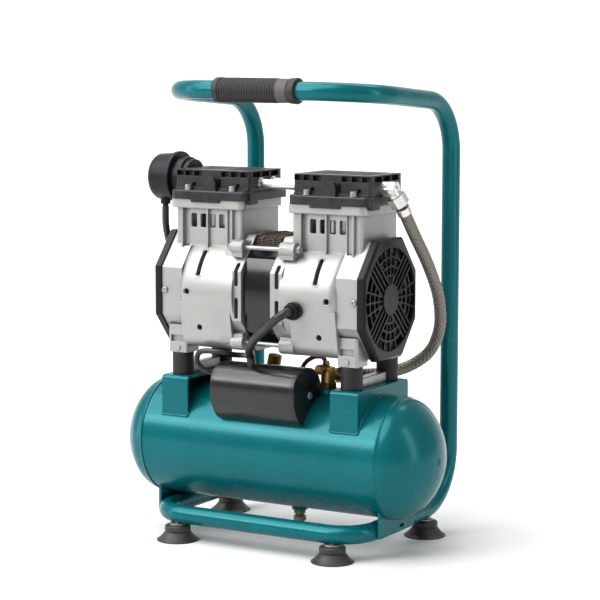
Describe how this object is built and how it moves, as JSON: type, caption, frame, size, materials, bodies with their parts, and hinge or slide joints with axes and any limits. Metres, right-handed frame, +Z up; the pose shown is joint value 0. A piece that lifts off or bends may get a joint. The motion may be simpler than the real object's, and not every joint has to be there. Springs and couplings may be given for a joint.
{
  "type": "air compressor",
  "caption": "Portable oil-free twin-cylinder air compressor: bent-tube carrying frame with grip, horizontal tank, pump and motor on rubber mounts, hoses and controls.",
  "frame": {"origin": "under the middle of the whole object, on the floor the feet stand on", "axes": "+Z up, +X along the tank and the crankshaft, +Y towards the frame's posts and the controls"},
  "size_m": [0.364, 0.2375, 0.487],
  "materials": {
    "teal_paint": "satin enamel",
    "cast_alloy": "die cast, satin",
    "zinc_steel": "zinc plated",
    "nickel": "nickel plated",
    "black_plastic": "fine grain",
    "black_paint": "satin black",
    "rubber": "matte",
    "grip_rubber": "matte",
    "lamination": "dull black",
    "copper_winding": "varnished wire",
    "rotor_steel": "machined",
    "brass": "turned",
    "braid": "woven wire",
    "red_tube": "extruded",
    "cable": "matte",
    "bearing_steel": "ground",
    "filter_felt": "pleated",
    "gauge_face": "white dial",
    "needle_red": "red",
    "red_knob": "moulded",
    "seal_ptfe": "filled PTFE"
  },
  "bodies": {
    "compressor": {"frame_tube": "teal_paint", "handle_grip": "grip_rubber", "rubber_feet": "rubber", "foot_studs": "zinc_steel", "tank_shell": "teal_paint", "tank_heads": "teal_paint", "tank_cradle_plates": "teal_paint", "saddle_brackets": "teal_paint", "mount_bars": "zinc_steel", "rubber_mounts": "rubber", "mount_studs": "zinc_steel", "crankcase_left": "cast_alloy", "crankcase_right": "cast_alloy", "stator_core": "lamination", "stator_windings": "copper_winding", "main_bearings": "bearing_steel", "fan_covers": "black_plastic", "tie_rods": "zinc_steel", "cylinder_liners": "rotor_steel", "valve_plates": "cast_alloy", "reed_valves": "bearing_steel", "cylinder_head_left": "black_paint", "cylinder_head_right": "black_paint", "casing_screws": "zinc_steel", "crossover_pipes": "cast_alloy", "intake_filter_base": "black_plastic", "intake_filter_cap": "black_plastic", "filter_element": "filter_felt", "breather_hose": "cable", "outlet_elbow": "nickel", "braided_hose": "braid", "hose_fittings": "nickel", "check_valve": "brass", "unloader_tube": "red_tube", "safety_valve_body": "brass", "drain_valve_body": "brass", "capacitor_box": "black_plastic", "box_end_caps": "black_plastic", "capacitor": "zinc_steel", "cable_gland": "black_plastic", "motor_lead": "cable", "switch_lead": "cable", "air_manifold": "brass", "pressure_switch": "black_plastic", "pressure_gauge": "gauge_face", "outlet_coupler": "nickel"},
    "rotor": {"crankshaft": "rotor_steel", "rotor_core": "rotor_steel", "crank_pin_bearings": "bearing_steel", "cooling_fans": "black_plastic"},
    "left_piston": {"piston_left": "cast_alloy", "cup_seal_left": "seal_ptfe"},
    "right_piston": {"piston_right": "cast_alloy", "cup_seal_right": "seal_ptfe"},
    "safety_cap": {"safety_valve_cap": "brass"},
    "drain_knob": {"drain_valve_knob": "brass"},
    "switch_button": {"switch_knob": "red_knob"},
    "regulator": {"regulator_knob": "black_plastic"},
    "needle": {"gauge_needle": "needle_red"},
    "sleeve": {"coupler_sleeve": "nickel"}
  },
  "joints": [
    {"name": "crank_spin", "type": "hinge", "parent": "compressor", "child": "rotor", "pos_m": [0, -0.03375, 0.2631], "axis": [1, 0, 0], "continuous": true},
    {"name": "left_piston_stroke", "type": "slide", "parent": "compressor", "child": "left_piston", "axis": [0, 0, 1], "range_m": [-0.012, 0]},
    {"name": "right_piston_stroke", "type": "slide", "parent": "compressor", "child": "right_piston", "axis": [0, 0, 1], "range_m": [0, 0.012]},
    {"name": "safety_valve_lift", "type": "slide", "parent": "compressor", "child": "safety_cap", "axis": [0.2079, 0, 0.9781], "range_m": [0, 0.0025], "stiffness_N_per_m": 3000},
    {"name": "drain_valve_turn", "type": "hinge", "parent": "compressor", "child": "drain_knob", "pos_m": [0.019, -0.03375, 0.0206], "axis": [0, 0, -1], "range_deg": [0, 270]},
    {"name": "switch_pull", "type": "slide", "parent": "compressor", "child": "switch_button", "axis": [0, 0, 1], "range_m": [0, 0.005]},
    {"name": "regulator_turn", "type": "hinge", "parent": "compressor", "child": "regulator", "pos_m": [0.032, 0.06625, 0.1246], "axis": [0, -1, 0], "range_deg": [0, 720]},
    {"name": "gauge_needle_turn", "type": "hinge", "parent": "compressor", "child": "needle", "pos_m": [-0.014, 0.07025, 0.1246], "axis": [0, -1, 0], "range_deg": [0, 270], "stiffness_Nm_per_rad": 0.0002},
    {"name": "coupler_sleeve_pull", "type": "slide", "parent": "compressor", "child": "sleeve", "axis": [1, 0, 0], "range_m": [-0.004, 0], "stiffness_N_per_m": 1500}
  ]
}
